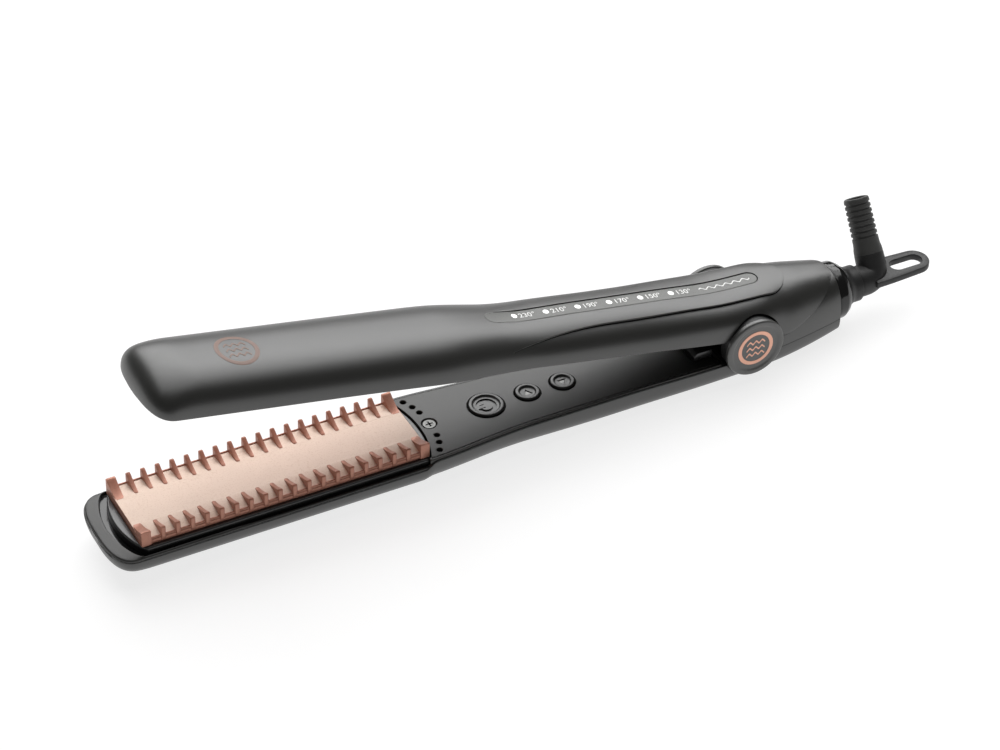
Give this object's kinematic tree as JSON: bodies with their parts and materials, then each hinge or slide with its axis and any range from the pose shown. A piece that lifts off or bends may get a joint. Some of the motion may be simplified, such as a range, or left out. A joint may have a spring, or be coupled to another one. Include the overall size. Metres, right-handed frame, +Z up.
{
  "type": "hair crimper",
  "caption": "Hand-held hair crimper: a toothed trough plate and a slotted barrel plate on spring-opened hinged arms, with push buttons, a light strip and a swivel cord outlet",
  "frame": {"origin": "on the table, directly below the hinge axis, on the flat strip that the lower arm rests on", "axes": "+X from the hinge to the cord end, -X to the plates, +Z up, +Y to the side that the strain relief leans to"},
  "size_m": [0.3101, 0.0368, 0.0726],
  "materials": {
    "satin_shell": "dark grey soft-touch satin",
    "inner_face": "fine-textured dark grey",
    "holder_black": "black, slightly glossy",
    "copper_ceramic": "copper-coloured ceramic coating",
    "heater_ceramic": "white ceramic in foil",
    "spring_steel": "plain spring steel",
    "silicone": "red-brown silicone",
    "circuit_board": "green solder mask",
    "black_nylon": "glass-filled nylon",
    "button_satin": "satin with a dished top",
    "cap_satin": "satin grey",
    "copper_print": "copper foil inlay",
    "gloss_black": "polished black",
    "contact_brass": "bright brass",
    "screw_steel": "nickel-plated",
    "display_smoke": "smoked light strip",
    "led_white": "milky white",
    "rubber_grey": "soft grey-black"
  },
  "bodies": {
    "base": {"lower_shell": "satin_shell", "lower_inner_cover": "inner_face", "lower_plate_holder": "holder_black", "lower_plate": "copper_ceramic", "lower_heater": "heater_ceramic", "lower_heater_clip": "spring_steel", "lower_thermistor": "silicone", "lower_cushions": "silicone", "button_board": "circuit_board", "tact_switches": "black_nylon", "hinge_yoke": "black_nylon", "hinge_pin": "spring_steel", "left_hinge_cap": "cap_satin", "right_hinge_cap": "cap_satin", "cap_badges": "copper_print", "opening_spring": "spring_steel", "stop_block": "black_nylon", "tail_core": "black_nylon", "rear_cheeks": "satin_shell", "rear_collar": "gloss_black", "swivel_socket": "black_nylon", "contact_springs": "contact_brass", "lower_screws": "screw_steel"},
    "upper_arm": {"upper_shell": "satin_shell", "upper_inner_cover": "inner_face", "upper_plate_holder": "holder_black", "upper_plate": "copper_ceramic", "upper_heater": "heater_ceramic", "upper_heater_clip": "spring_steel", "upper_thermistor": "silicone", "upper_cushions": "silicone", "upper_hinge_block": "black_nylon", "hinge_bushes": "contact_brass", "display_panel": "satin_shell", "display_lens": "display_smoke", "led_board": "circuit_board", "indicator_leds": "led_white", "main_board": "circuit_board", "arm_badge": "copper_print", "upper_screws": "screw_steel"},
    "power_button": {"power_button": "button_satin"},
    "up_button": {"up_button": "button_satin"},
    "down_button": {"down_button": "button_satin"},
    "cord_swivel": {"swivel_elbow": "rubber_grey", "slip_rings": "contact_brass", "swivel_clip": "spring_steel", "strain_relief_boot": "rubber_grey", "hanging_loop": "rubber_grey"}
  },
  "joints": [
    {"name": "arm_hinge", "type": "hinge", "parent": "base", "child": "upper_arm", "pos_m": [0, 0, 0.01448], "axis": [0, -1, 0], "range_deg": [0, 11], "stiffness_Nm_per_rad": 0.6, "springref_deg": -34.38, "deforming": ["opening_spring"]},
    {"name": "power_press", "type": "slide", "parent": "base", "child": "power_button", "axis": [-0.0185, 0, -0.9998], "range_m": [0, 0.0005], "stiffness_N_per_m": 1200, "springref_m": -0.0004},
    {"name": "up_press", "type": "slide", "parent": "base", "child": "up_button", "axis": [-0.0185, 0, -0.9998], "range_m": [0, 0.0005], "stiffness_N_per_m": 1200, "springref_m": -0.0004},
    {"name": "down_press", "type": "slide", "parent": "base", "child": "down_button", "axis": [-0.0185, 0, -0.9998], "range_m": [0, 0.0005], "stiffness_N_per_m": 1200, "springref_m": -0.0004},
    {"name": "cord_swivel_turn", "type": "hinge", "parent": "base", "child": "cord_swivel", "pos_m": [0.04997, 0, 0.01256], "axis": [0.9998, 0, -0.0185], "continuous": true}
  ]
}
